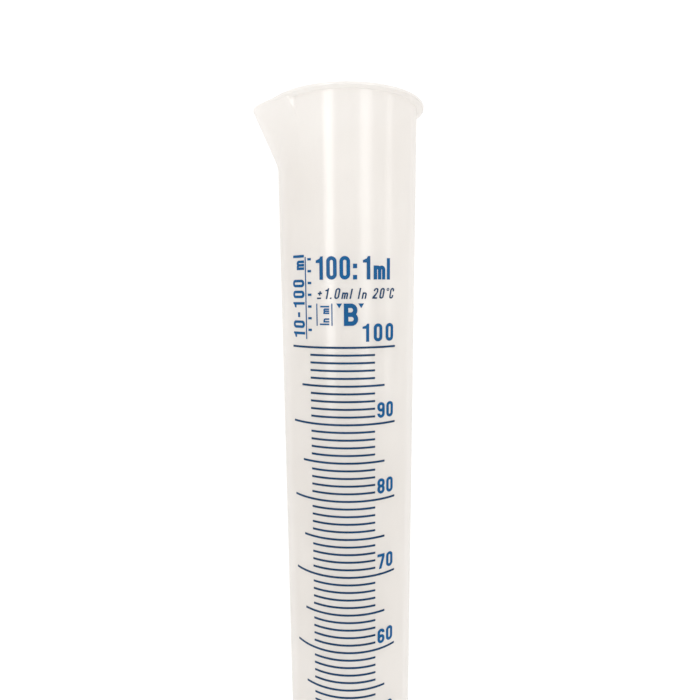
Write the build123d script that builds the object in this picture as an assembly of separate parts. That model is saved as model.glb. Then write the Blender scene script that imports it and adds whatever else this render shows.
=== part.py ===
from build123d import *
import math
import os

# Graduated measuring cylinder, tall form: a tapered, closed tube with a spout, a push-on
# hexagonal foot and a printed scale. Millimetres. The origin is the centre of the foot's
# underside, +Z is up, the scale faces -Y and the spout points to -X.

# ---- capacity and bore -------------------------------------------------------------------
nominal_capacity = 100          # ml, the top line of the scale
lowest_graduation = 10          # ml, the bottom line of the scale
cubic_mm_per_ml = 1000.0
bore_radius_at_capacity = 13.94  # inside radius at the top line
draft = 0.00895                 # growth of every radius per mm of height
wall = 1.4                      # tube wall
floor_thickness = 2.0           # closed bottom of the tube
freeboard = 52.8                # from the top line up to the rim
floor_corner_radius = 2.0       # inside the bottom
base_corner_radius = 1.2        # outside the bottom

# ---- rim and spout -----------------------------------------------------------------------
lip_overhang = 1.5              # rim beyond the tube wall
lip_height = 0.6                # straight outer band of the rim
lip_taper = 0.20                # sloped underside of the rim
rim_edge_radius = 0.30
spout_reach = 21.5              # tip of the spout from the axis
spout_depth = 13.0              # from the rim down to where the spout leaves the wall
spout_nose_radius = 8.0
spout_flank_inset = 0.15        # flank line inside the rim's outer circle, at the top
spout_wall = 1.3
spout_overrun = 1.1             # the leaning prism runs on into the wall
mouth_lift = 0.1                # the hollow of the spout starts this far above the rim
spout_trail_angle = 80.0        # each flank runs back into the wall at this angle from the tip
spout_trail_share = 0.85        # radius there, as a share of the flank's distance

# ---- foot --------------------------------------------------------------------------------
seat_height = 10.0              # underside of the tube above the table
socket_depth = 16.0             # tube held by the collar, at most
socket_margin = 0.8             # collar stays this far under the lowest line
socket_clearance = 0.10         # radial, a light push fit
socket_wall = 2.0
socket_floor = 2.0
foot_across_flats = 62.0
foot_skirt_height = 6.0
foot_skirt_draft = 0.8          # skirt leans in by this much at its top
foot_deck_height = 12.0         # deck meets the collar here
foot_wall = 2.0
foot_corner_radius = 4.0        # rounding of the hexagon's corners
rib_pairs = 3                   # each web crosses the whole foot
rib_thickness = 1.6
rib_recess = 0.6                # ribs stay this far above the table

cut_margin = 1.0                # cutting solids run past the surface that they cut

# ---- printed scale -----------------------------------------------------------------------
ink_film = 0.10
line_thickness = 0.44
long_line = 24.6                # arc length of each kind of line
medium_line = 18.9
short_line = 14.25
long_step = 10                  # ml
medium_step = 5
numeral_height = 3.4
capacity_numeral_height = 3.8   # the top numeral is a little taller
numeral_breadth = 1.15          # digits of the scale are wider than the other print
numeral_stroke = 0.18           # as a share of the height
numeral_lift = 1.0              # base of a numeral above its line
numeral_right = 11.75           # arc length from the scale's centre to a numeral's right end
capacity_tracking = 0.09        # extra space in the top numeral, as a share of its height
slant = 0.21                    # lean of the italic line
prism_depth = 1.6               # glyph blanks, cut to the film afterwards


def radius_at(height, base_radius, base_height):
    """Radius of a drafted wall at a height."""
    return base_radius + draft * (height - base_height)


# Heights follow from the bore's volume: V = pi (r2^3 - r1^3) / (3 draft).
cone_factor = math.pi / (3.0 * draft * cubic_mm_per_ml)
floor_radius = (bore_radius_at_capacity ** 3 - nominal_capacity / cone_factor) ** (1.0 / 3.0)
floor_top = seat_height + floor_thickness
capacity_height = floor_top + (bore_radius_at_capacity - floor_radius) / draft
rim_height = capacity_height + freeboard


def volume_height(millilitres):
    """Height of the surface of a given volume in the drafted bore."""
    radius = (floor_radius ** 3 + millilitres / cone_factor) ** (1.0 / 3.0)
    return floor_top + (radius - floor_radius) / draft


def bore_radius(height):
    return radius_at(height, floor_radius, floor_top)


def outer_radius(height):
    return bore_radius(height) + wall


def turned(outline):
    """Solid of revolution about Z of an outline in the XZ plane."""
    return revolve(Plane.XZ * make_face(outline), axis=Axis.Z)


# ---- tube --------------------------------------------------------------------------------
def spout_section(reach, nose_radius, flank_distance):
    """Plan of the spout: a rounded nose between two flanks at a distance from the axis."""
    nose_centre = reach - nose_radius
    lean = math.acos((flank_distance - nose_radius) / nose_centre)
    back = math.sin(lean) * flank_distance
    nose_x = nose_centre + nose_radius * math.cos(lean)
    nose_y = nose_radius * math.sin(lean)
    foot_x = flank_distance * math.cos(lean)
    trail_radius = spout_trail_share * flank_distance
    trail_x = trail_radius * math.cos(math.radians(spout_trail_angle))
    trail_y = trail_radius * math.sin(math.radians(spout_trail_angle))
    outline = Polyline((-nose_x, nose_y), (-foot_x, back), (-trail_x, trail_y),
                       (-trail_x, -trail_y), (-foot_x, -back), (-nose_x, -nose_y))
    outline += ThreePointArc((-nose_x, -nose_y), (-reach, 0), (-nose_x, nose_y))
    return make_face(outline)


def spout_prism(reach, nose_radius, flank_distance, lift):
    """Leaning prism of the spout, down from the rim to where its nose meets the wall."""
    start_height = rim_height - spout_depth
    shift = spout_reach - outer_radius(start_height)
    lean = Vector(shift, 0, -spout_depth)
    length = lean.length * (1.0 + lift)
    top = Pos(-lean.X * lift, 0, rim_height - lean.Z * lift) * spout_section(
        reach, nose_radius, flank_distance)
    return extrude(top, amount=length * spout_overrun, dir=lean.normalized())


def measuring_tube():
    top_radius = outer_radius(rim_height)
    lip_radius = top_radius + lip_overhang
    lip_base = rim_height - lip_height
    taper_base = lip_base - lip_taper
    base_radius = outer_radius(seat_height)
    body = turned(Polyline(
        (0, seat_height), (base_radius, seat_height),
        (top_radius, rim_height), (0, rim_height), close=True))
    base_edge = body.edges().sort_by(Axis.Z)[0]
    body = fillet(base_edge, base_corner_radius)
    lip = turned(Polyline(
        (0, taper_base), (outer_radius(taper_base), taper_base), (lip_radius, lip_base),
        (lip_radius, rim_height), (0, rim_height), close=True))
    lip = fillet(lip.edges().sort_by(Axis.Z)[-1], rim_edge_radius)
    flank = lip_radius - spout_flank_inset
    outside = body + lip + spout_prism(spout_reach, spout_nose_radius, flank, 0.0)
    outside = split(outside, Plane.XY.offset(rim_height), keep=Keep.BOTTOM)
    mouth_radius = bore_radius(rim_height)
    bore = turned(Polyline(
        (0, floor_top), (bore_radius(floor_top), floor_top),
        (mouth_radius, rim_height - rim_edge_radius),
        (mouth_radius + rim_edge_radius, rim_height),
        (mouth_radius + rim_edge_radius, rim_height + cut_margin),
        (0, rim_height + cut_margin), close=True))
    floor_edge = bore.edges().sort_by(Axis.Z)[0]
    bore = fillet(floor_edge, floor_corner_radius)
    bore += spout_prism(spout_reach - spout_wall, spout_nose_radius - spout_wall,
                        mouth_radius, mouth_lift)
    return outside - bore


# ---- foot --------------------------------------------------------------------------------
def hexagon(half_flats, corner_radius):
    outline = RegularPolygon(half_flats, 6, major_radius=False)
    return fillet(outline.vertices(), corner_radius)


def foot_block(inset):
    """Hexagonal block under a sloping round deck, pulled in by an inset on every side."""
    half_flats = foot_across_flats / 2 - inset
    corner_radius = foot_corner_radius - inset
    collar_radius = outer_radius(seat_height) + socket_clearance + socket_wall
    base = hexagon(half_flats, corner_radius)
    top = Pos(0, 0, foot_deck_height) * hexagon(half_flats - foot_skirt_draft, corner_radius)
    block = loft([base.face(), top.face()], ruled=True)
    reach = foot_across_flats
    slope = (foot_deck_height - foot_skirt_height) / (foot_across_flats / 2 - collar_radius)
    deck_top = foot_deck_height - inset
    deck = turned(Polyline(
        (0, -reach), (reach, -reach), (reach, deck_top - slope * (reach - collar_radius)),
        (collar_radius, deck_top), (0, deck_top), close=True))
    return block & deck


def foot():
    lowest_line = volume_height(lowest_graduation) - line_thickness / 2
    collar_top = min(seat_height + socket_depth, lowest_line - socket_margin)
    cup_radius = outer_radius(collar_top) + socket_clearance + socket_wall
    cup_base = seat_height - socket_floor
    shell = foot_block(0.0) - foot_block(foot_wall)
    cup = turned(Polyline(
        (0, cup_base), (cup_radius, cup_base), (cup_radius, collar_top), (0, collar_top),
        close=True))
    web = Pos(0, 0, rib_recess) * Box(foot_across_flats, rib_thickness, foot_deck_height,
                                      align=(Align.CENTER, Align.CENTER, Align.MIN))
    inside = foot_block(foot_wall / 2)
    for index in range(rib_pairs):
        shell += Rot(0, 0, 180 / rib_pairs * (index + 0.5)) * web & inside
    mouth_height = collar_top + cut_margin
    socket = turned(Polyline(
        (0, seat_height), (outer_radius(seat_height) + socket_clearance, seat_height),
        (outer_radius(mouth_height) + socket_clearance, mouth_height), (0, mouth_height),
        close=True))
    return shell + cup - socket


# ---- glyphs: unions of bars, rings and polygons, each in a box of width by height ----------
def bar(left, low, right, high):
    return Pos((left + right) / 2, (low + high) / 2) * Rectangle(right - left, high - low)


def rounded(left, low, right, high):
    width = right - left
    height = high - low
    return Pos((left + right) / 2, (low + high) / 2) * RectangleRounded(
        width, height, 0.495 * min(width, height))


def ring(left, low, right, high, stroke):
    inner = rounded(left + stroke, low + stroke, right - stroke, high - stroke)
    return rounded(left, low, right, high) - inner


def area(*points):
    return make_face(Polyline(*points, close=True))


def bowl(width, low, high, stroke):
    """A letter's bowl: straight on the left, round on the right."""
    outside = rounded(0, low, width, high) + bar(0, low, width / 2, high)
    hollow = rounded(stroke, low + stroke, width - stroke, high - stroke)
    hollow += bar(stroke, low + stroke, width / 2, high - stroke)
    return outside - hollow


def digit_zero(width, height, stroke):
    return ring(0, 0, width, height, stroke)


def digit_one(width, height, stroke):
    right = width * 0.92
    stem = right - stroke
    return area((stem, 0), (right, 0), (right, height), (stem + 0.35 * stroke, height),
                (stem, 0.90 * height), (width * 0.2, 0.83 * height),
                (width * 0.2, 0.72 * height), (stem, 0.72 * height))


def digit_two(width, height, stroke):
    top = ring(0, 0.45 * height, width, height, stroke)
    top -= bar(-stroke, 0.3 * height, width + stroke, 0.7 * height)
    slope = area((width - stroke, 0.7 * height), (width, 0.7 * height), (width, 0.61 * height),
                 (1.2 * stroke, stroke / 2), (0, stroke / 2), (0, 0.2 * height),
                 (width - stroke, 0.59 * height))
    return top + slope + bar(0, 0, width, stroke)


def digit_three(width, height, stroke):
    mid = height / 2
    pair = ring(0, mid - stroke / 2, width, height, stroke) + ring(0, 0, width, mid + stroke / 2, stroke)
    pair -= bar(-stroke, 0.29 * height, 0.42 * width, 0.71 * height)
    return pair


def digit_four(width, height, stroke):
    right = width - 0.45 * stroke
    stem = right - stroke
    low = 0.2 * height
    hull = area((0, low), (right, low), (right, height), (stem, height), (0, low + stroke))
    hull -= area((stroke, low + stroke), (stem, low + stroke), (stem, height - 1.2 * stroke))
    return hull + bar(stem, 0, right, height) + bar(stem, low, width, low + stroke)


def digit_five(width, height, stroke):
    loop = ring(0, 0, width, 0.62 * height, stroke)
    loop -= bar(-stroke, 0.21 * height, width / 2, 0.46 * height)
    return loop + bar(0, 0.46 * height, stroke, height) + bar(0, height - stroke, 0.94 * width, height)


def digit_six(width, height, stroke):
    tall = ring(0, 0, width, height, stroke)
    tall -= bar(width / 2, 0.3 * height, width + stroke, 0.72 * height)
    return tall + ring(0, 0, width, 0.6 * height, stroke)


def digit_seven(width, height, stroke):
    return area((0, height), (width, height), (width, height - stroke), (0.2 * width + stroke, 0),
                (0.2 * width, 0), (width - stroke, height - stroke), (0, height - stroke))


def digit_eight(width, height, stroke):
    mid = height / 2
    return ring(0, mid - stroke / 2, width, height, stroke) + ring(0, 0, width, mid + stroke / 2, stroke)


def digit_nine(width, height, stroke):
    return Pos(width, height) * (Rot(0, 0, 180) * digit_six(width, height, stroke))


def letter_b(width, height, stroke):
    mid = height / 2
    return bowl(0.95 * width, mid - stroke / 2, height, stroke) + bowl(width, 0, mid + stroke / 2, stroke)


def letter_c(width, height, stroke):
    loop = ring(0, 0, width, height, stroke)
    return loop - bar(width / 2, 0.33 * height, width + stroke, 0.67 * height)


def letter_l(width, height, stroke):
    return bar(0, 0, stroke, 0.93 * height)


def letter_i(width, height, stroke):
    return bar(0, 0, stroke, height)


def arch(left, right, x_height, stroke):
    """One arch of an n or m, open at the bottom."""
    return ring(left, -x_height, right, x_height, stroke) - bar(left - stroke, -2 * x_height,
                                                              right + stroke, 0)


def letter_n(width, height, stroke):
    x_height = 0.6 * height
    return arch(0, width, x_height, stroke) + bar(0, 0, stroke, x_height)


def letter_m(width, height, stroke):
    x_height = 0.6 * height
    middle = width / 2
    arches = arch(0, middle + stroke / 2, x_height, stroke)
    arches += arch(middle - stroke / 2, width, x_height, stroke)
    return arches + bar(0, 0, stroke, x_height)


def mark_dot(width, height, stroke):
    return bar(0, 0, stroke, stroke)


def mark_colon(width, height, stroke):
    upper = 0.48 * height
    return bar(0, 0, width, 1.2 * stroke) + bar(0, upper, width, upper + 1.2 * stroke)


def mark_dash(width, height, stroke):
    return bar(0, 0.4 * height, width, 0.4 * height + stroke)


def mark_degree(width, height, stroke):
    return ring(0, height - width, width, height, stroke / 2)


def mark_plus_minus(width, height, stroke):
    middle = 0.52 * height
    cross = bar(0, middle - stroke / 2, width, middle + stroke / 2)
    cross += bar(width / 2 - stroke / 2, middle - width / 2, width / 2 + stroke / 2, middle + width / 2)
    return cross + bar(0, 0, width, stroke)


digit_width = 0.46
digit_stroke = 0.16
digit_pitch = 0.58

# Character: drawing function, width and advance as shares of the height.
glyphs = {
    "0": (digit_zero, digit_width, digit_pitch),
    "1": (digit_one, digit_width, digit_pitch),
    "2": (digit_two, digit_width, digit_pitch),
    "3": (digit_three, digit_width, digit_pitch),
    "4": (digit_four, digit_width, digit_pitch),
    "5": (digit_five, digit_width, digit_pitch),
    "6": (digit_six, digit_width, digit_pitch),
    "7": (digit_seven, digit_width, digit_pitch),
    "8": (digit_eight, digit_width, digit_pitch),
    "9": (digit_nine, digit_width, digit_pitch),
    "B": (letter_b, 0.64, 0.76),
    "C": (letter_c, digit_width, digit_pitch),
    "I": (letter_i, 0.16, 0.26),
    "l": (letter_l, 0.16, 0.26),
    "n": (letter_n, 0.42, 0.54),
    "m": (letter_m, 0.57, 0.66),
    ".": (mark_dot, 0.16, 0.28),
    ":": (mark_colon, 0.18, 0.34),
    "-": (mark_dash, 0.30, 0.42),
    "o": (mark_degree, 0.28, 0.34),
    "+": (mark_plus_minus, 0.40, 0.50),
    " ": (None, 0.0, 0.30),
}


def ink_shell(low, high):
    """The film of ink all round the tube between two heights."""
    return turned(Polyline(
        (outer_radius(low), low), (outer_radius(low) + ink_film, low),
        (outer_radius(high) + ink_film, high), (outer_radius(high), high), close=True))


def on_wall(sketch, arc, height, shell):
    """Lay a flat shape on the wall at an arc length from the scale's centre line."""
    radius = outer_radius(height)
    turn = math.degrees(arc / radius)
    blank = extrude(Plane.XZ * sketch, amount=prism_depth / 2, both=True)
    placed = Rot(0, 0, turn) * (Pos(0, -radius, height) * blank)
    return placed & shell


def text_width(text, height, tracking=0.0, breadth=1.0):
    """Arc length of a line of characters, with its trailing space."""
    return height * sum(glyphs[letter][2] * breadth + tracking for letter in text)


def written(text, left, base, height, stroke=digit_stroke, lean=0.0, tracking=0.0, breadth=1.0):
    """Characters side by side on the wall, each laid flat at its own place."""
    shell = ink_shell(base - height, base + 2 * height)
    pieces = []
    cursor = left
    for letter in text:
        draw, width, advance = glyphs[letter]
        if draw:
            wide = width * height * breadth
            flat = Pos(-wide / 2, 0) * draw(wide, height, stroke * height)
            if lean:
                flat = leaned(flat, lean)
            pieces += on_wall(flat, cursor + wide / 2, base, shell).solids()
        cursor += (advance * breadth + tracking) * height
    return pieces


def leaned(flat, lean):
    """Shear a flat shape so that it leans to the right."""
    return flat.transform_geometry(Matrix([[1, lean, 0, 0], [0, 1, 0, 0], [0, 0, 1, 0]]))


def written_up(text, right, start, height, stroke=digit_stroke, tracking=0.0):
    """Characters that read upwards, their feet to the right."""
    length = text_width(text, height, tracking)
    shell = ink_shell(start - height, start + length + height)
    pieces = []
    cursor = start
    for letter in text:
        draw, width, advance = glyphs[letter]
        if draw:
            wide = width * height
            flat = Rot(0, 0, 90) * (Pos(-wide / 2, -height / 2) * draw(wide, height, stroke * height))
            pieces += on_wall(flat, right - height / 2, cursor + wide / 2, shell).solids()
        cursor += (advance + tracking) * height
    return pieces


def scale_line(millilitres, length):
    """One line of the scale: a short turn of the ink film."""
    middle = volume_height(millilitres)
    low = middle - line_thickness / 2
    high = middle + line_thickness / 2
    turn = math.degrees(length / outer_radius(middle))
    profile = Plane.XZ * make_face(Polyline(
        (outer_radius(low), low), (outer_radius(low) + ink_film, low),
        (outer_radius(high) + ink_film, high), (outer_radius(high), high), close=True))
    return revolve(Rot(0, 0, -90 - turn / 2) * profile, axis=Axis.Z, revolution_arc=turn)


def scale_lines():
    """Lines of each kind, from the lowest graduation to the capacity."""
    kinds = {"lines_10ml": [], "lines_5ml": [], "lines_1ml": []}
    for millilitres in range(lowest_graduation, nominal_capacity + 1):
        if millilitres % long_step == 0:
            kinds["lines_10ml"].append(scale_line(millilitres, long_line))
        elif millilitres % medium_step == 0:
            kinds["lines_5ml"].append(scale_line(millilitres, medium_line))
        else:
            kinds["lines_1ml"].append(scale_line(millilitres, short_line))
    return kinds


def numerals():
    pieces = []
    for millilitres in range(lowest_graduation, nominal_capacity + 1, long_step):
        base = volume_height(millilitres) + line_thickness / 2 + numeral_lift
        text = str(millilitres)
        top = millilitres == nominal_capacity
        height = capacity_numeral_height if top else numeral_height
        tracking = capacity_tracking if top else 0.0
        spare = ((digit_pitch - digit_width) * numeral_breadth + tracking) * height
        left = numeral_right - text_width(text, height, tracking, numeral_breadth) + spare
        pieces += written(text, left, base, height, stroke=numeral_stroke, tracking=tracking,
                          breadth=numeral_breadth)
    return pieces


# Inscriptions above the top line: arc lengths from the scale's centre line, heights above it.
capacity_left = -5.9
capacity_base = 14.2
capacity_text_height = 4.8
tolerance_left = -5.3
tolerance_base = 10.2
tolerance_text_height = 2.25
tolerance_tracking = 0.10
tolerance_stroke = 0.14
class_left = 0.5
class_base = 4.6
class_text_height = 4.66
class_stroke = 0.20             # strokes are shares of the height
triangle_width = 1.2
triangle_height = 1.0
triangle_left_gap = 0.35
triangle_right_gap = 0.05
unit_right = -2.6
unit_text_height = 2.1
unit_margin = 0.15              # text above the foot of its rules
unit_rule_left = -5.35
unit_rule_right = -2.0
rule_thickness = 0.22
column_right = -8.5
column_text_height = 3.5
column_tracking = 0.08
column_base = 1.7
column_top = 19.0
column_rule = -8.05
dot_column = -7.1
dot_width = 0.85
dot_height = 0.5
dot_count = 7
dot_phase = 0.7                 # first dash, as a share of the spacing


def rule(arc, low, high, thickness=rule_thickness):
    shell = ink_shell(capacity_height + low - cut_margin, capacity_height + high + cut_margin)
    flat = Pos(0, (high - low) / 2) * Rectangle(thickness, high - low)
    return on_wall(flat, arc, capacity_height + low, shell).solids()


def triangle(arc):
    """Small triangle that points down, its top level with the class letter."""
    top = capacity_height + class_base + class_text_height
    shell = ink_shell(top - 2 * triangle_height, top + triangle_height)
    flat = area((-triangle_width / 2, 0), (0, -triangle_height), (triangle_width / 2, 0))
    return on_wall(flat, arc, top, shell).solids()


def class_mark():
    width = glyphs["B"][1] * class_text_height
    base = capacity_height + class_base
    pieces = written("B", class_left, base, class_text_height, stroke=class_stroke)
    pieces += triangle(class_left - triangle_left_gap - triangle_width / 2)
    pieces += triangle(class_left + width + triangle_right_gap + triangle_width / 2)
    return pieces


def unit_mark():
    base = capacity_height + class_base
    pieces = written_up("In ml", unit_right, base + unit_margin, unit_text_height)
    for arc in (unit_rule_left, unit_rule_right):
        pieces += rule(arc, class_base, class_base + class_text_height)
    return pieces


def range_mark():
    text = str(lowest_graduation) + "-" + str(nominal_capacity) + " ml"
    height = column_text_height
    pieces = written_up(text, column_right, capacity_height + column_base, height,
                        tracking=column_tracking)
    pieces += rule(column_rule, column_base, column_top)
    step = (column_top - column_base) / dot_count
    for index in range(dot_count):
        low = column_base + step * (index + dot_phase)
        pieces += rule(dot_column, low, low + dot_height, dot_width)
    return pieces


def write(name, shapes):
    group = shapes if isinstance(shapes, list) else [shapes]
    solids = [solid for shape in group for solid in shape.solids()]
    export_step(solids[0] if len(solids) == 1 else Compound(children=solids), "parts/" + name + ".step")
    print(name, len(solids), "solids", round(sum(solid.volume for solid in solids), 2), "mm3")


os.makedirs("parts", exist_ok=True)
write("measuring_tube", measuring_tube())
write("foot", foot())
for kind, lines in scale_lines().items():
    write(kind, lines)
write("numerals", numerals())
write("capacity_mark", written("100:1ml", capacity_left, capacity_height + capacity_base,
                               capacity_text_height))
write("tolerance_mark", written("+1.0ml In 20oC", tolerance_left, capacity_height + tolerance_base,
                                tolerance_text_height, lean=slant, stroke=tolerance_stroke,
                                tracking=tolerance_tracking))
write("class_mark", class_mark())
write("unit_mark", unit_mark())
write("range_mark", range_mark())
print("top line", round(capacity_height, 2), "rim", round(rim_height, 2))
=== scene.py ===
"""A 100 ml measuring cylinder: milky tube with a spout, hexagonal foot, blue printed scale."""
import math

import bpy
import numpy as np
from bpy.props import FloatProperty, FloatVectorProperty, IntProperty, PointerProperty
from bpy.types import Operator, Panel, PropertyGroup
from mathutils import Matrix, Vector


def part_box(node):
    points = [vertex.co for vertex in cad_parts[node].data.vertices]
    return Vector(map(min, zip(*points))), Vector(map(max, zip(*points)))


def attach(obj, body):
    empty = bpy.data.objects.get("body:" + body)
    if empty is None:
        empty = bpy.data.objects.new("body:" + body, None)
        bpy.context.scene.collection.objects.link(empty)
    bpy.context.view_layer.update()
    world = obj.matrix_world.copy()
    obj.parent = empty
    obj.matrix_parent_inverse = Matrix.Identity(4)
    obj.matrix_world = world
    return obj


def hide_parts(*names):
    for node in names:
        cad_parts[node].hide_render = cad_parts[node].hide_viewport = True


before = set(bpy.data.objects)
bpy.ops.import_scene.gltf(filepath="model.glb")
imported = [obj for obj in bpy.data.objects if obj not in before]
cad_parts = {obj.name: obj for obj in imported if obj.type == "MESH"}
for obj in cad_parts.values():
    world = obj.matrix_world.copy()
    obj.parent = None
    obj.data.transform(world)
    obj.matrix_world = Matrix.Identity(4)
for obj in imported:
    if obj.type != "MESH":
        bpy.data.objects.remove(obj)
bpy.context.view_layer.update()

bl_info = {
    "name": "Measuring Cylinder",
    "version": (1, 0, 0),
    "blender": (4, 5, 0),
    "location": "View3D > Sidebar > Cylinder",
    "description": "Finish of a printed plastic measuring cylinder on its hexagonal foot",
    "category": "Object",
}

# ---- places taken from the frame, in metres -------------------------------------------------
TUBE_LOW, TUBE_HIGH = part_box("measuring_tube")
FOOT_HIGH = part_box("foot")[1]
RIM_HEIGHT = TUBE_HIGH[2]
TUBE_BASE = TUBE_LOW[2]
LIP_RADIUS = TUBE_HIGH[0]
SPOUT_REACH = -TUBE_LOW[0]
COLLAR_TOP = FOOT_HIGH[2]
HALF_FLATS = FOOT_HIGH[1]
NUMERAL_NODES = ("numerals", "capacity_mark", "class_mark", "unit_mark", "range_mark")
LINE_NODES = ("lines_10ml", "lines_5ml", "lines_1ml", "tolerance_mark")

# ---- tube: fixed shares, and the spacing of its rows ----------------------------------------
# Behind its flank the spout is cut back by a trailing facet, from the flank's touching point to
# a point at TRAIL_ANGLE from the spout's middle and TRAIL_SHARE of the flank's radius.
TRAIL_ANGLE = math.radians(80.0)
TRAIL_SHARE = 0.85
TRAIL_BLEND = 0.0006
# Keeps an outline's distance finite along an angle that it hardly crosses.
LEAST_COSINE = 0.1
# Rows are closer above these depths: shares of the spout's depth and of the lip's taper.
SPOUT_ROOT_SHARE = 1.1
LIP_FOOT_SHARE = 1.5
WALL_ROWS, SPOUT_ROWS, LIP_ROWS, TUBE_ARC_ROWS = 26, 34, 11, 8
BASE_SHARES = (0.25, 0.6, 0.85)
RIM_SHARES = (0.35, 0.7)
FLOOR_SHARES = (0.8, 0.5, 0.2)

# ---- foot: reach of its curves, and the spacing of its rows ---------------------------------
# Multiples of the edge rounding.
SHOULDER_IN, SHOULDER_DOWN = 1.5, 1.6
UNDER_DECK_DROP = 0.6
COLLAR_ROOT = 2.0
# Metres.
COLLAR_ROOT_EXTRA = 0.0004
SOCKET_GAP = 0.00002
WEB_END_MARGIN = 0.0003
SKIRT_INSIDE_HEIGHTS = (0.003, 0.0015)
# Rows, as counts and as shares of the way along each surface.
FOOT_ARC_ROWS, FOOT_CURVE_ROWS = 6, 7
UNDER_SOCKET_SHARES = (0.3, 0.7, 0.95)
UNDER_DECK_SHARES = (0.25, 0.5, 0.75, 0.96)
SKIRT_SHARES = (0.3, 0.6, 0.85)
DECK_SHARES = (0.2, 0.45, 0.7, 0.9, 1.0)
COLLAR_SHARES = (0.3, 0.6, 0.85)
SOCKET_SHARES = (0.3, 0.7, 1.0)
SOCKET_FLOOR_SHARES = (0.97, 0.6, 0.25)
WEB_SHARES = (0.0, 0.2, 0.4, 0.45, 0.6, 0.8, 1.0)
WEB_COUNT = 6
WEB_FIRST_TURN = 30

# ---- finish ---------------------------------------------------------------------------------
# Milky plastic: share of light let through, and share that is plain see-through.
TUBE_GLOW, TUBE_CLEAR = 0.45, 0.20
FOOT_GLOW, FOOT_CLEAR = 0.35, 0.04
PLASTIC_ROUGHNESS = 0.13
PLASTIC_IOR = 1.49
PLASTIC_BUMP, PLASTIC_RELIEF = 0.25, 0.0002
INK_BUMP, INK_RELIEF = 0.15, 0.00005
INK_SPECULAR = 0.1
NUMERAL_THINNING, LINE_THINNING = 0.35, 0.5

# ---- stage ----------------------------------------------------------------------------------
# Upright strip lights: name, turn about the tube from the front, width in metres, watts.
STRIPS = (("strip_left", math.radians(-24.0), 0.20, 5.4),
          ("strip_right", math.radians(35.0), 0.24, 4.2),
          ("strip_side", math.radians(76.0), 0.14, 1.4))
STRIP_DISTANCE, STRIP_MIDDLE, STRIP_HEIGHT = 0.8, 0.30, 0.9
STRIP_AIM = 0.7
FLOOR_ROUGHNESS = 0.9
FLOOR_BEND_ROWS = 24
SENSOR_WIDTH = 36.0
CLIP_START = 0.005


# ---- settings -------------------------------------------------------------------------------
def length(name, description, default):
    """Setting for a size in metres."""
    return FloatProperty(name=name, description=description, default=default, min=0.0,
                         unit="LENGTH", precision=5)


def colour(name, description, default):
    """Setting for a linear colour with alpha."""
    return FloatVectorProperty(name=name, description=description, default=default, size=4,
                               min=0.0, max=1.0, subtype="COLOR")


class TubeSettings(PropertyGroup):
    """Sizes and finish of the tube."""
    draft: FloatProperty(name="Draft", description="Growth of the radius with height",
                         default=0.00895, precision=5)
    wall: length("Wall", "Thickness of the tube wall", 0.0014)
    floor: length("Floor", "Thickness of the closed bottom", 0.0020)
    base_corner: length("Base corner", "Rounding outside the bottom", 0.0012)
    floor_corner: length("Floor corner", "Rounding inside the bottom", 0.0020)
    lip_overhang: length("Lip overhang", "Rim beyond the wall", 0.0015)
    lip_height: length("Lip height", "Upright band of the rim", 0.0006)
    lip_taper: length("Lip taper", "Sloped underside of the rim", 0.00020)
    rim_edge: length("Rim edge", "Rounding of the rim's edges", 0.00030)
    spout_depth: length("Spout depth", "From the rim down to the spout's root", 0.0130)
    spout_nose: length("Spout nose", "Radius of the spout's tip", 0.0080)
    spout_inset: length("Spout flank", "Flank inside the rim's circle", 0.00015)
    spout_wall: length("Spout wall", "Thickness at the spout", 0.0013)
    blend: length("Blend", "Width of the hollow between spout and wall", 0.0008)
    segments: IntProperty(name="Segments", description="Steps around the tube", default=480,
                          min=24)
    colour: colour("Tube colour", "Milky plastic", (0.925, 0.903, 0.876, 1.0))
    shade: colour("Tube shade", "Plastic where it is a little denser",
                  (0.885, 0.858, 0.828, 1.0))


class FootSettings(PropertyGroup):
    """Sizes and finish of the foot."""
    collar_wall: length("Collar wall", "Thickness of the socket's collar", 0.0020)
    clearance: length("Clearance", "Between tube and socket", 0.0001)
    skirt_height: length("Skirt height", "Deck edge above the bench", 0.0060)
    deck_height: length("Deck height", "Deck at the collar", 0.0120)
    skirt_draft: length("Skirt draft", "Lean of the skirt up to the deck", 0.0008)
    corner: length("Corner", "Rounding of the hexagon", 0.0040)
    edge: length("Edge", "Rounding of the moulded edges", 0.0006)
    shell: length("Shell", "Thickness of deck and skirt", 0.0020)
    web: length("Web", "Thickness of the webs underneath", 0.0016)
    web_recess: length("Web recess", "Webs above the bench", 0.0006)
    socket_floor: length("Socket floor", "Thickness under the tube", 0.0020)
    segments: IntProperty(name="Segments", description="Steps around the foot", default=360, min=24)


class InkSettings(PropertyGroup):
    """Colours of the print."""
    numeral: colour("Numeral ink", "Solid blue of the characters", (0.002, 0.080, 0.220, 1.0))
    line: colour("Line ink", "Darker blue of the fine lines", (0.008, 0.040, 0.100, 1.0))


class StageSettings(PropertyGroup):
    """Camera, light and floor."""
    camera_distance: length("Camera distance", "From the tube's axis", 0.13098)
    camera_below_rim: length("Camera below rim", "Height under the rim", 0.04132)
    camera_side: FloatProperty(name="Camera side", description="Turn about the tube",
                               default=math.radians(5.04), subtype="ANGLE")
    camera_heading: FloatProperty(name="Camera heading", description="Turn of the view",
                                  default=math.radians(4.85), subtype="ANGLE")
    camera_tilt: FloatProperty(name="Camera tilt", description="Downward tilt of the view",
                               default=math.radians(5.89), subtype="ANGLE")
    camera_roll: FloatProperty(name="Camera roll", description="Lean of the view",
                               default=math.radians(-0.34), subtype="ANGLE")
    lens: FloatProperty(name="Lens", description="Focal length in mm on a 36 mm sensor",
                        default=28.55, min=5.0)
    sky: FloatProperty(name="Room light", description="Strength of the even light", default=1.20)
    floor: colour("Floor", "Pale floor", (0.93, 0.93, 0.93, 1.0))


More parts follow.
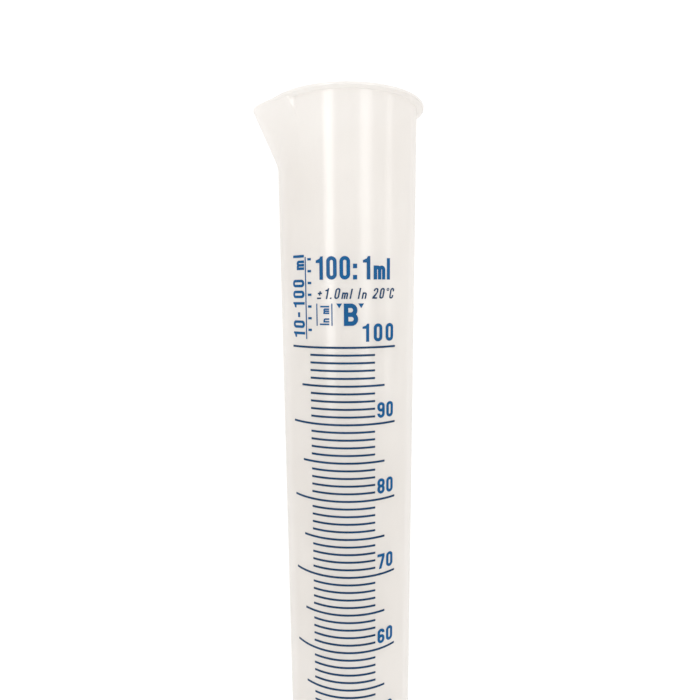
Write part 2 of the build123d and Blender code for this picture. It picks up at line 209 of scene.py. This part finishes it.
# ---- meshes ---------------------------------------------------------------------------------
def closed_grid(rows, columns):
    """Indices of a grid whose columns close round, their right neighbours, and its faces.

    Each face joins a point, its right neighbour and the two points above them.
    """
    index = np.arange(rows * columns).reshape(rows, columns)
    right = np.roll(index, -1, axis=1)
    faces = np.stack([index[:-1], right[:-1], right[1:], index[1:]], axis=-1).reshape(-1, 4)
    return index, right, faces


def grid_mesh(name, points, closed_low, closed_high):
    """Mesh from an array rows x columns x 3: columns close round, ends may close on a pole.

    A pole is one point on the axis, fanned to its ring.
    """
    rows, columns, _ = points.shape
    index, right, quads = closed_grid(rows, columns)
    vertices = [points.reshape(-1, 3)]
    faces = quads.tolist()
    count = rows * columns
    for closed, row, flip in ((closed_low, 0, True), (closed_high, rows - 1, False)):
        if not closed:
            continue
        centre = points[row].mean(axis=0)
        centre[0] = 0.0
        centre[1] = 0.0
        vertices.append(centre[None, :])
        pole = np.full(columns, count)
        ring = (right[row], index[row], pole) if flip else (index[row], right[row], pole)
        faces += np.stack(ring, axis=-1).tolist()
        count += 1
    mesh = bpy.data.meshes.new(name)
    mesh.from_pydata(np.concatenate(vertices), [], faces)
    mesh.polygons.foreach_set("use_smooth", np.ones(len(faces), dtype=bool))
    mesh.update()
    return mesh


def add_piece(name, mesh, material):
    """Object at the origin that holds the mesh in one material."""
    piece = bpy.data.objects.new(name, mesh)
    bpy.context.scene.collection.objects.link(piece)
    mesh.materials.append(material)
    return piece


def soft_max(first, second, width):
    """Larger of two, with a rounded changeover where they differ by less than width."""
    share = np.clip(0.5 + 0.5 * (first - second) / width, 0.0, 1.0)
    return second + (first - second) * share + width * share * (1.0 - share)


def soft_min(first, second, width):
    """Smaller of two, with the same rounded changeover."""
    return -soft_max(-first, -second, width)


def arc_steps(count):
    """Shares along a quarter turn: sine and one minus cosine."""
    turn = np.linspace(0.0, math.pi / 2, count)
    return np.sin(turn), 1.0 - np.cos(turn)


class TubeShape:
    """Radius of the tube's outside and inside as a function of angle and height."""

    def __init__(self, sizes):
        self.sizes = sizes
        self.wall_at_rim = LIP_RADIUS - sizes.lip_overhang
        root = RIM_HEIGHT - sizes.spout_depth
        self.slide = (SPOUT_REACH - self.outer_wall(root)) / sizes.spout_depth

    def outer_wall(self, height):
        """Straight taper: the rim's wall radius less the draft times the depth below the rim."""
        return self.wall_at_rim - self.sizes.draft * (RIM_HEIGHT - height)

    def nose_radius_at(self, angle, height, reach, nose, flank):
        """Distance to the spout's plan outline along each angle from the spout's middle.

        The outline is a circle of the nose's radius ahead of the axis and its two tangents,
        the flanks, cut back behind by the trailing facets. All of it slides back towards the
        axis with depth below the rim.
        """
        ahead = reach - nose
        lean = math.acos((flank - nose) / ahead)
        back = self.slide * (RIM_HEIGHT - height)
        centre = ahead - back
        side = flank - back * math.cos(lean)
        turn = np.abs(angle)
        across = centre * np.sin(turn)
        nose_hit = centre * np.cos(turn) + np.sqrt(np.maximum(nose ** 2 - across ** 2, 0.0))
        flank_hit = side / np.maximum(np.cos(turn - lean), LEAST_COSINE)
        touch = np.array([math.cos(lean), math.sin(lean)]) * flank
        trail = np.array([math.cos(TRAIL_ANGLE), math.sin(TRAIL_ANGLE)]) * flank * TRAIL_SHARE
        run = (trail - touch) / np.linalg.norm(trail - touch)
        normal = np.array([-run[1], -run[0]]) * np.sign(-run[0])
        end_turn = math.atan2(normal[1], normal[0])
        end_side = touch @ normal - back * normal[0]
        trail_hit = end_side / np.maximum(np.cos(turn - end_turn), LEAST_COSINE)
        flank_hit = soft_min(flank_hit, trail_hit, TRAIL_BLEND)
        tangent = np.arctan2(nose * math.sin(lean), centre + nose * math.cos(lean))
        return np.where(turn < tangent, nose_hit, flank_hit)

    def outside(self, angle, height):
        """Wall, rim and spout together, the larger radius winning with a soft changeover.

        The rim's underside rises from the wall to the lip on a smooth S curve.
        """
        sizes = self.sizes
        wall = self.outer_wall(height)
        flank = LIP_RADIUS - sizes.spout_inset
        spout = self.nose_radius_at(angle, height, SPOUT_REACH, sizes.spout_nose, flank)
        spout = np.where(np.abs(angle) < math.pi / 2, spout, 0.0)
        base = RIM_HEIGHT - sizes.lip_height - sizes.lip_taper
        rise = np.clip((height - base) / sizes.lip_taper, 0.0, 1.0)
        rise = rise * rise * (3.0 - 2.0 * rise)
        lip = wall + (LIP_RADIUS - wall) * rise
        return soft_max(lip, spout, sizes.blend)

    def inside(self, angle, height):
        """Bore and the spout's inside, both one wall in from the outside, softly joined."""
        sizes = self.sizes
        bore = self.outer_wall(height) - sizes.wall
        bore_at_rim = self.wall_at_rim - sizes.wall
        spout = self.nose_radius_at(angle, height, SPOUT_REACH - sizes.spout_wall,
                                    sizes.spout_nose - sizes.spout_wall, bore_at_rim)
        spout = np.where(np.abs(angle) < math.pi / 2, spout, 0.0)
        return soft_max(bore, spout, sizes.blend)


def tube_points(sizes):
    """Rows of rings: up the outside, over the rim, down the inside, at the shape's radius."""
    shape = TubeShape(sizes)
    turn = np.arange(sizes.segments) / sizes.segments * 2.0 * math.pi
    angle = (turn + math.pi) % (2.0 * math.pi) - math.pi
    sine, fall = arc_steps(TUBE_ARC_ROWS)
    edge = sizes.rim_edge
    spout_root = RIM_HEIGHT - SPOUT_ROOT_SHARE * sizes.spout_depth
    lip_foot = RIM_HEIGHT - sizes.lip_height - LIP_FOOT_SHARE * sizes.lip_taper
    rings = []

    def ring(radius, height):
        x = -radius * np.cos(angle)
        y = -radius * np.sin(angle)
        rings.append(np.stack([x, y, np.full_like(x, height)], axis=-1))

    corner = sizes.base_corner
    base_flat = shape.outer_wall(TUBE_BASE + corner) - corner
    for share in BASE_SHARES:
        ring(base_flat * share, TUBE_BASE)
    for along, up in zip(sine, fall):
        ring(base_flat + corner * along, TUBE_BASE + corner * up)
    heights = np.concatenate([
        np.linspace(TUBE_BASE + corner, spout_root, WALL_ROWS)[1:],
        np.linspace(spout_root, lip_foot, SPOUT_ROWS)[1:],
        np.linspace(lip_foot, RIM_HEIGHT - edge, LIP_ROWS)[1:]])
    for height in heights:
        ring(shape.outside(angle, height), height)
    top = shape.outside(angle, RIM_HEIGHT - edge)
    for along, up in zip(fall[1:], sine[1:]):
        ring(top - edge * along, RIM_HEIGHT - edge + edge * up)
    mouth = shape.inside(angle, RIM_HEIGHT - edge)
    for share in RIM_SHARES:
        ring((top - edge) * (1.0 - share) + (mouth + edge) * share, RIM_HEIGHT)
    for along, up in zip(fall[::-1], sine[::-1]):
        ring(mouth + edge * along, RIM_HEIGHT - edge + edge * up)
    floor_top = TUBE_BASE + sizes.floor
    hollow = sizes.floor_corner
    for height in heights[::-1][1:]:
        if height > floor_top + hollow:
            ring(shape.inside(angle, height), height)
    floor_flat = shape.outer_wall(floor_top + hollow) - sizes.wall - hollow
    for along, up in zip(sine[::-1], fall[::-1]):
        ring(floor_flat + hollow * along, floor_top + hollow * up)
    for share in FLOOR_SHARES:
        ring(floor_flat * share, floor_top)
    return np.stack(rings)


def hexagon_radius(angle, half_flats, corner):
    """Distance to a hexagon with rounded corners: flats are lines, corners are circles."""
    sector = (angle + math.pi / 6) % (math.pi / 3) - math.pi / 6
    to_corner = math.pi / 6 - np.abs(sector)
    flat = half_flats / np.cos(sector)
    centre = (half_flats - corner) / math.cos(math.pi / 6)
    reach = centre * np.cos(to_corner)
    across = centre * np.sin(to_corner)
    rounded = reach + np.sqrt(np.maximum(corner ** 2 - across ** 2, 0.0))
    tangent = np.arctan2(centre * math.sin(math.pi / 6), half_flats)
    return np.where(np.abs(sector) < tangent, flat, rounded)


def deck_line(foot, shape):
    """Radius of the deck's inner end, and its even fall per metre outwards to the skirt."""
    collar = shape.outer_wall(TUBE_BASE) + foot.clearance + foot.collar_wall
    return collar, (foot.deck_height - foot.skirt_height) / (HALF_FLATS - collar)


def foot_points(foot, tube):
    """Rows of rings from under the socket to its floor, closed on a pole at each end.

    They run out under the deck, down inside the skirt, up outside it, over the deck, up the
    collar and down into the socket. Rings of the skirt follow the rounded hexagon, rings of
    the collar are circles, and rings of the deck are straight mixes of the two.
    """
    shape = TubeShape(tube)
    count = foot.segments
    angle = np.arange(count) / count * 2.0 * math.pi + math.pi / 2
    rings = []

    def ring(radius, height):
        height = height + np.zeros_like(angle)
        radius = radius + np.zeros_like(angle)
        rings.append(np.stack([radius * np.cos(angle), radius * np.sin(angle), height], axis=-1))

    collar, slope = deck_line(foot, shape)
    collar_outside = shape.outer_wall(COLLAR_TOP) + foot.clearance + foot.collar_wall
    edge = foot.edge

    def hexagon(inset, height):
        lean = foot.skirt_draft * height / foot.deck_height
        return hexagon_radius(angle - math.pi / 2, HALF_FLATS - inset - lean, foot.corner - inset)

    def deck(radius, inset):
        return foot.deck_height - inset - slope * (radius - collar)

    socket_low = TUBE_BASE - foot.socket_floor
    for share in UNDER_SOCKET_SHARES:
        ring(collar_outside * share, socket_low)
    ring(collar_outside, socket_low)
    ring(collar_outside, deck(collar_outside, foot.shell))
    inner_edge = hexagon(foot.shell, foot.skirt_height)
    for share in UNDER_DECK_SHARES:
        radius = collar_outside + (inner_edge - collar_outside) * share
        ring(radius, deck(radius, foot.shell))
    ring(inner_edge, deck(inner_edge, foot.shell) - UNDER_DECK_DROP * edge)
    for height in SKIRT_INSIDE_HEIGHTS + (edge,):
        ring(hexagon(foot.shell, height), height)
    sine, fall = arc_steps(FOOT_ARC_ROWS)
    inner = hexagon(foot.shell, 0.0)
    for along, up in zip(fall, sine):
        ring(inner + edge * along, edge * (1.0 - up))
    outer = hexagon(0.0, 0.0)
    for along, up in zip(sine, fall):
        ring(outer - edge + edge * along, edge * up)
    shoulder = hexagon(0.0, foot.skirt_height)
    top = deck(shoulder, 0.0)
    for share in SKIRT_SHARES:
        ring(outer + (shoulder - outer) * share,
             edge + (top - SHOULDER_DOWN * edge - edge) * share)
    for share in np.linspace(0.0, 1.0, FOOT_CURVE_ROWS):
        inward = SHOULDER_IN * edge * share ** 2
        down = SHOULDER_DOWN * edge * (1.0 - share) ** 2
        ring(shoulder - inward, top - down + slope * inward)
    root = COLLAR_ROOT * edge + COLLAR_ROOT_EXTRA
    for share in DECK_SHARES:
        radius = (shoulder - SHOULDER_IN * edge) * (1.0 - share) + (collar_outside + root) * share
        ring(radius, deck(radius, 0.0))
    base = deck(collar_outside + root, 0.0)
    for share in np.linspace(0.0, 1.0, FOOT_CURVE_ROWS)[1:]:
        ring(collar_outside + root * (1.0 - share) ** 2,
             base + root * share ** 2 + slope * root * share)
    for share in COLLAR_SHARES:
        ring(collar_outside, base + root + (COLLAR_TOP - edge - base - root) * share)
    for along, up in zip(fall, sine):
        ring(collar_outside - edge * along, COLLAR_TOP - edge * (1.0 - up))
    mouth = shape.outer_wall(COLLAR_TOP) + foot.clearance
    for along, up in zip(fall[::-1], sine[::-1]):
        ring(mouth + edge * along, COLLAR_TOP - edge * (1.0 - up))
    for share in SOCKET_SHARES:
        height = COLLAR_TOP - edge + (TUBE_BASE - COLLAR_TOP + edge) * share
        ring(shape.outer_wall(height) + foot.clearance, height)
    for share in SOCKET_FLOOR_SHARES:
        ring((shape.outer_wall(TUBE_BASE) + foot.clearance) * share, TUBE_BASE - SOCKET_GAP)
    return np.stack(rings)


def web_mesh(foot, tube):
    """Upright webs, each a closed slab from the middle to the skirt with its top under the deck.

    A slab is a row of four-cornered sections, carried outwards and turned to each corner.
    """
    collar, slope = deck_line(foot, TubeShape(tube))
    middle = foot.shell / 2
    reach = np.array(WEB_SHARES) * (HALF_FLATS - middle - WEB_END_MARGIN)
    floor_under = TUBE_BASE - foot.socket_floor / 2
    high = np.minimum(floor_under, foot.deck_height - middle - slope * (reach - collar))
    low = np.full_like(reach, foot.web_recess)
    half = foot.web / 2
    side = np.stack([
        np.stack([reach, np.full_like(reach, -half), low], axis=-1),
        np.stack([reach, np.full_like(reach, half), low], axis=-1),
        np.stack([reach, np.full_like(reach, half), high], axis=-1),
        np.stack([reach, np.full_like(reach, -half), high], axis=-1)], axis=1)
    rows, columns, _ = side.shape
    index, _, quads = closed_grid(rows, columns)
    ends = np.array([index[0][::-1], index[-1]])
    faces = np.concatenate([quads, ends])
    vertices = []
    all_faces = []
    for number in range(WEB_COUNT):
        turn = math.radians(WEB_FIRST_TURN + 360 / WEB_COUNT * number)
        rotation = np.array([[math.cos(turn), math.sin(turn), 0.0],
                             [-math.sin(turn), math.cos(turn), 0.0], [0.0, 0.0, 1.0]])
        vertices.append(side.reshape(-1, 3) @ rotation)
        all_faces.append(faces + number * rows * columns)
    mesh = bpy.data.meshes.new("foot_webs")
    mesh.from_pydata(np.concatenate(vertices), [], np.concatenate(all_faces).tolist())
    mesh.update()
    return mesh


# ---- shader groups --------------------------------------------------------------------------
def new_group(name, inputs, outputs):
    """Empty shader group with the given sockets, and its input and output nodes."""
    group = bpy.data.node_groups.new(name, "ShaderNodeTree")
    for label, kind, value in inputs:
        socket = group.interface.new_socket(label, in_out="INPUT", socket_type=kind)
        if value is not None:
            socket.default_value = value
    for label, kind in outputs:
        group.interface.new_socket(label, in_out="OUTPUT", socket_type=kind)
    return group, group.nodes.new("NodeGroupInput"), group.nodes.new("NodeGroupOutput")


def moulded_group():
    """Moulded plastic: flow streaks along the height, fine grain and faint cloudy density."""
    group, source, result = new_group(
        "moulded_plastic",
        [("Streak Scale", "NodeSocketFloat", 90.0), ("Grain Scale", "NodeSocketFloat", 1400.0),
         ("Base Roughness", "NodeSocketFloat", 0.3), ("Roughness Range", "NodeSocketFloat", 0.12),
         ("Light", "NodeSocketColor", (0.9, 0.9, 0.9, 1.0)),
         ("Dense", "NodeSocketColor", (0.8, 0.8, 0.8, 1.0))],
        [("Color", "NodeSocketColor"), ("Roughness", "NodeSocketFloat"),
         ("Height", "NodeSocketFloat")])
    nodes, links = group.nodes, group.links
    place = nodes.new("ShaderNodeTexCoord")
    stretch = nodes.new("ShaderNodeMapping")
    stretch.inputs["Scale"].default_value = (1.0, 1.0, 0.06)
    links.new(place.outputs["Object"], stretch.inputs["Vector"])
    streaks = nodes.new("ShaderNodeTexNoise")
    streaks.inputs["Detail"].default_value = 3.0
    links.new(stretch.outputs["Vector"], streaks.inputs["Vector"])
    links.new(source.outputs["Streak Scale"], streaks.inputs["Scale"])
    grain = nodes.new("ShaderNodeTexNoise")
    grain.inputs["Detail"].default_value = 2.0
    links.new(place.outputs["Object"], grain.inputs["Vector"])
    links.new(source.outputs["Grain Scale"], grain.inputs["Scale"])
    clouds = nodes.new("ShaderNodeTexNoise")
    clouds.inputs["Scale"].default_value = 35.0
    clouds.inputs["Detail"].default_value = 2.0
    links.new(place.outputs["Object"], clouds.inputs["Vector"])
    spread = nodes.new("ShaderNodeMapRange")
    spread.inputs["From Min"].default_value = 0.35
    spread.inputs["From Max"].default_value = 0.65
    links.new(clouds.outputs["Fac"], spread.inputs["Value"])
    tint = nodes.new("ShaderNodeMix")
    tint.data_type = "RGBA"
    links.new(spread.outputs["Result"], tint.inputs["Factor"])
    links.new(source.outputs["Light"], tint.inputs["A"])
    links.new(source.outputs["Dense"], tint.inputs["B"])
    links.new(tint.outputs["Result"], result.inputs["Color"])
    range_part = nodes.new("ShaderNodeMath")
    range_part.operation = "MULTIPLY"
    links.new(streaks.outputs["Fac"], range_part.inputs[0])
    links.new(source.outputs["Roughness Range"], range_part.inputs[1])
    rough = nodes.new("ShaderNodeMath")
    rough.operation = "ADD"
    links.new(range_part.outputs[0], rough.inputs[0])
    links.new(source.outputs["Base Roughness"], rough.inputs[1])
    links.new(rough.outputs[0], result.inputs["Roughness"])
    fine = nodes.new("ShaderNodeMath")
    fine.operation = "MULTIPLY"
    fine.inputs[1].default_value = 0.12
    links.new(grain.outputs["Fac"], fine.inputs[0])
    height = nodes.new("ShaderNodeMath")
    height.operation = "ADD"
    links.new(streaks.outputs["Fac"], height.inputs[0])
    links.new(fine.outputs[0], height.inputs[1])
    links.new(height.outputs[0], result.inputs["Height"])
    return group


def ink_group():
    """Screen-printed ink: density that drifts a little, with fine mottle."""
    group, source, result = new_group(
        "printed_ink",
        [("Ink", "NodeSocketColor", (0.02, 0.1, 0.3, 1.0)), ("Thin", "NodeSocketFloat", 0.35)],
        [("Color", "NodeSocketColor"), ("Roughness", "NodeSocketFloat"),
         ("Height", "NodeSocketFloat")])
    nodes, links = group.nodes, group.links
    place = nodes.new("ShaderNodeTexCoord")
    drift = nodes.new("ShaderNodeTexNoise")
    drift.inputs["Scale"].default_value = 160.0
    drift.inputs["Detail"].default_value = 4.0
    links.new(place.outputs["Object"], drift.inputs["Vector"])
    mottle = nodes.new("ShaderNodeTexNoise")
    mottle.inputs["Scale"].default_value = 2600.0
    links.new(place.outputs["Object"], mottle.inputs["Vector"])
    share = nodes.new("ShaderNodeMapRange")
    share.inputs["From Min"].default_value = 0.4
    share.inputs["From Max"].default_value = 0.75
    links.new(drift.outputs["Fac"], share.inputs["Value"])
    amount = nodes.new("ShaderNodeMath")
    amount.operation = "MULTIPLY"
    links.new(share.outputs["Result"], amount.inputs[0])
    links.new(source.outputs["Thin"], amount.inputs[1])
    paler = nodes.new("ShaderNodeHueSaturation")
    paler.inputs["Value"].default_value = 1.7
    links.new(source.outputs["Ink"], paler.inputs["Color"])
    tint = nodes.new("ShaderNodeMix")
    tint.data_type = "RGBA"
    links.new(amount.outputs[0], tint.inputs["Factor"])
    links.new(source.outputs["Ink"], tint.inputs["A"])
    links.new(paler.outputs["Color"], tint.inputs["B"])
    links.new(tint.outputs["Result"], result.inputs["Color"])
    gloss = nodes.new("ShaderNodeMapRange")
    gloss.inputs["To Min"].default_value = 0.32
    gloss.inputs["To Max"].default_value = 0.5
    links.new(mottle.outputs["Fac"], gloss.inputs["Value"])
    links.new(gloss.outputs["Result"], result.inputs["Roughness"])
    links.new(mottle.outputs["Fac"], result.inputs["Height"])
    return group


def shared_group(name, build):
    """The group of that name, built the first time it is asked for."""
    return bpy.data.node_groups.get(name) or build()


def blank_material(name):
    """New material with only an output node."""
    material = bpy.data.materials.new(name)
    material.use_nodes = True
    nodes = material.node_tree.nodes
    nodes.clear()
    return material, nodes, material.node_tree.links, nodes.new("ShaderNodeOutputMaterial")


def surface_nodes(nodes, links, group, strength, distance):
    """A Principled shader fed by one of the groups above."""
    shader = nodes.new("ShaderNodeBsdfPrincipled")
    detail = nodes.new("ShaderNodeGroup")
    detail.node_tree = group
    bump = nodes.new("ShaderNodeBump")
    bump.inputs["Strength"].default_value = strength
    bump.inputs["Distance"].default_value = distance
    links.new(detail.outputs["Height"], bump.inputs["Height"])
    links.new(bump.outputs["Normal"], shader.inputs["Normal"])
    links.new(detail.outputs["Color"], shader.inputs["Base Color"])
    links.new(detail.outputs["Roughness"], shader.inputs["Roughness"])
    return shader, detail, bump


def milky_material(name, light, dense, glow, clear):
    """Milky plastic: part solid, part light let through the wall, part plain see-through."""
    material, nodes, links, output = blank_material(name)
    group = shared_group("moulded_plastic", moulded_group)
    shader, detail, bump = surface_nodes(nodes, links, group, PLASTIC_BUMP, PLASTIC_RELIEF)
    detail.inputs["Light"].default_value = light
    detail.inputs["Dense"].default_value = dense
    detail.inputs["Base Roughness"].default_value = PLASTIC_ROUGHNESS
    shader.inputs["IOR"].default_value = PLASTIC_IOR
    through = nodes.new("ShaderNodeBsdfTranslucent")
    links.new(detail.outputs["Color"], through.inputs["Color"])
    links.new(bump.outputs["Normal"], through.inputs["Normal"])
    body = nodes.new("ShaderNodeMixShader")
    body.inputs[0].default_value = glow
    links.new(shader.outputs[0], body.inputs[1])
    links.new(through.outputs[0], body.inputs[2])
    window = nodes.new("ShaderNodeBsdfTransparent")
    whole = nodes.new("ShaderNodeMixShader")
    whole.inputs[0].default_value = clear
    links.new(body.outputs[0], whole.inputs[1])
    links.new(window.outputs[0], whole.inputs[2])
    links.new(whole.outputs[0], output.inputs["Surface"])
    return material


def ink_material(name, ink, thin):
    """Printed ink of one colour, paler by up to the given share where it is thin."""
    material, nodes, links, output = blank_material(name)
    group = shared_group("printed_ink", ink_group)
    shader, detail, _ = surface_nodes(nodes, links, group, INK_BUMP, INK_RELIEF)
    detail.inputs["Ink"].default_value = ink
    detail.inputs["Thin"].default_value = thin
    shader.inputs["Specular IOR Level"].default_value = INK_SPECULAR
    links.new(shader.outputs[0], output.inputs["Surface"])
    return material


def plain_material(name, base, roughness):
    """One even colour."""
    material, nodes, links, output = blank_material(name)
    shader = nodes.new("ShaderNodeBsdfPrincipled")
    shader.inputs["Base Color"].default_value = base
    shader.inputs["Roughness"].default_value = roughness
    links.new(shader.outputs[0], output.inputs["Surface"])
    return material


# ---- floor and lights -----------------------------------------------------------------------
def sweep_mesh(width, near, far, height, bend):
    """Floor that curves up into a wall: a straight run, a quarter turn, a straight rise."""
    turn = np.linspace(0.0, math.pi / 2, FLOOR_BEND_ROWS)
    run = np.concatenate([[-near], far - bend + bend * np.sin(turn), [far]])
    rise = np.concatenate([[0.0], bend * (1.0 - np.cos(turn)), [height]])
    x = np.linspace(-width, width, 3)
    grid = np.stack(np.broadcast_arrays(x[None, :], run[:, None], rise[:, None]), axis=-1)
    rows, columns, _ = grid.shape
    index = np.arange(rows * columns).reshape(rows, columns)
    faces = np.stack([index[:-1, :-1], index[:-1, 1:], index[1:, 1:], index[1:, :-1]], axis=-1)
    mesh = bpy.data.meshes.new("floor")
    mesh.from_pydata(grid.reshape(-1, 3), [], faces.reshape(-1, 4).tolist())
    mesh.polygons.foreach_set("use_smooth", np.ones(faces.size // 4, dtype=bool))
    mesh.update()
    return mesh


def strip_light(name, place, target, width, height, power):
    """Upright strip seen only as a streak on glossy surfaces; the room gives the rest."""
    light = bpy.data.lights.new(name, "AREA")
    light.shape = "RECTANGLE"
    light.size = width
    light.size_y = height
    light.energy = power
    lamp = bpy.data.objects.new(name, light)
    lamp.location = place
    lamp.rotation_euler = (Vector(target) - Vector(place)).to_track_quat("-Z", "Y").to_euler()
    lamp.visible_diffuse = False
    lamp.visible_transmission = False
    bpy.context.scene.collection.objects.link(lamp)


# ---- operators ------------------------------------------------------------------------------
class CYLINDER_OT_tube(Operator):
    """Make the tube with its rim and spout"""
    bl_idname = "cylinder.tube"
    bl_label = "Measuring Tube"

    def execute(self, context):
        sizes = context.scene.cylinder_tube
        material = milky_material("tube_plastic", sizes.colour, sizes.shade, TUBE_GLOW, TUBE_CLEAR)
        mesh = grid_mesh("tube_shell", tube_points(sizes), True, True)
        piece = add_piece("tube_shell", mesh, material)
        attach(piece, "tube_body")
        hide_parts("measuring_tube")
        return {"FINISHED"}


class CYLINDER_OT_foot(Operator):
    """Make the hexagonal foot and the webs under it"""
    bl_idname = "cylinder.foot"
    bl_label = "Foot"

    def execute(self, context):
        foot = context.scene.cylinder_foot
        tube = context.scene.cylinder_tube
        material = milky_material("foot_plastic", tube.colour, tube.shade, FOOT_GLOW, FOOT_CLEAR)
        mesh = grid_mesh("foot_shell", foot_points(foot, tube), True, True)
        shell = add_piece("foot_shell", mesh, material)
        webs = add_piece("foot_webs", web_mesh(foot, tube), material)
        for piece in (shell, webs):
            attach(piece, "foot_base")
            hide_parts("foot")
        return {"FINISHED"}


class CYLINDER_OT_print(Operator):
    """Ink the printed scale and its inscriptions"""
    bl_idname = "cylinder.print"
    bl_label = "Printed Scale"

    def execute(self, context):
        inks = context.scene.cylinder_ink
        numeral = ink_material("numeral_ink", inks.numeral, NUMERAL_THINNING)
        line = ink_material("line_ink", inks.line, LINE_THINNING)
        for names, material in ((NUMERAL_NODES, numeral), (LINE_NODES, line)):
            for name in names:
                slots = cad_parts[name].data.materials
                slots.clear()
                slots.append(material)
        return {"FINISHED"}


class CYLINDER_OT_stage(Operator):
    """Set the floor, the light and the camera"""
    bl_idname = "cylinder.stage"
    bl_label = "Stage"

    def execute(self, context):
        stage = context.scene.cylinder_stage
        scene = context.scene
        material = plain_material("pale_floor", stage.floor, FLOOR_ROUGHNESS)
        mesh = sweep_mesh(width=2.0, near=2.0, far=1.2, height=1.6, bend=0.4)
        floor = add_piece("floor", mesh, material)
        world = bpy.data.worlds.new("even_light")
        scene.world = world
        world.use_nodes = True
        sky = world.node_tree.nodes["Background"]
        sky.inputs["Color"].default_value = (1.0, 1.0, 1.0, 1.0)
        sky.inputs["Strength"].default_value = stage.sky
        target = (0.0, 0.0, RIM_HEIGHT * STRIP_AIM)
        for name, turn, width, power in STRIPS:
            place = (STRIP_DISTANCE * math.sin(turn), -STRIP_DISTANCE * math.cos(turn),
                     STRIP_MIDDLE)
            strip_light(name, place, target, width, STRIP_HEIGHT, power)
        data = bpy.data.cameras.new("camera")
        data.lens = stage.lens
        data.sensor_width = SENSOR_WIDTH
        data.clip_start = CLIP_START
        camera = bpy.data.objects.new("camera", data)
        scene.collection.objects.link(camera)
        side = stage.camera_side
        camera.location = (stage.camera_distance * math.sin(side),
                           -stage.camera_distance * math.cos(side),
                           RIM_HEIGHT - stage.camera_below_rim)
        turn = Matrix.Rotation(stage.camera_heading, 3, "Z")
        tilt = Matrix.Rotation(math.pi / 2 - stage.camera_tilt, 3, "X")
        roll = Matrix.Rotation(stage.camera_roll, 3, "Z")
        camera.rotation_euler = (turn @ tilt @ roll).to_euler()
        scene.camera = camera
        scene.view_settings.view_transform = "Standard"
        return {"FINISHED"}


class CYLINDER_PT_panel(Panel):
    """Buttons for the measuring cylinder"""
    bl_idname = "CYLINDER_PT_panel"
    bl_label = "Measuring Cylinder"
    bl_space_type = "VIEW_3D"
    bl_region_type = "UI"
    bl_category = "Cylinder"

    def draw(self, context):
        for operator in OPERATORS:
            self.layout.operator(operator.bl_idname)


OPERATORS = (CYLINDER_OT_tube, CYLINDER_OT_foot, CYLINDER_OT_print, CYLINDER_OT_stage)
SETTINGS = (("cylinder_tube", TubeSettings), ("cylinder_foot", FootSettings),
            ("cylinder_ink", InkSettings), ("cylinder_stage", StageSettings))


def register():
    for name, settings in SETTINGS:
        bpy.utils.register_class(settings)
        setattr(bpy.types.Scene, name, PointerProperty(type=settings))
    for cls in OPERATORS + (CYLINDER_PT_panel,):
        bpy.utils.register_class(cls)


def unregister():
    for cls in (CYLINDER_PT_panel,) + OPERATORS[::-1]:
        bpy.utils.unregister_class(cls)
    for name, settings in SETTINGS[::-1]:
        delattr(bpy.types.Scene, name)
        bpy.utils.unregister_class(settings)


def main():
    register()
    bpy.ops.cylinder.tube()
    bpy.ops.cylinder.foot()
    bpy.ops.cylinder.print()
    bpy.ops.cylinder.stage()


if __name__ == "__main__":
    main()
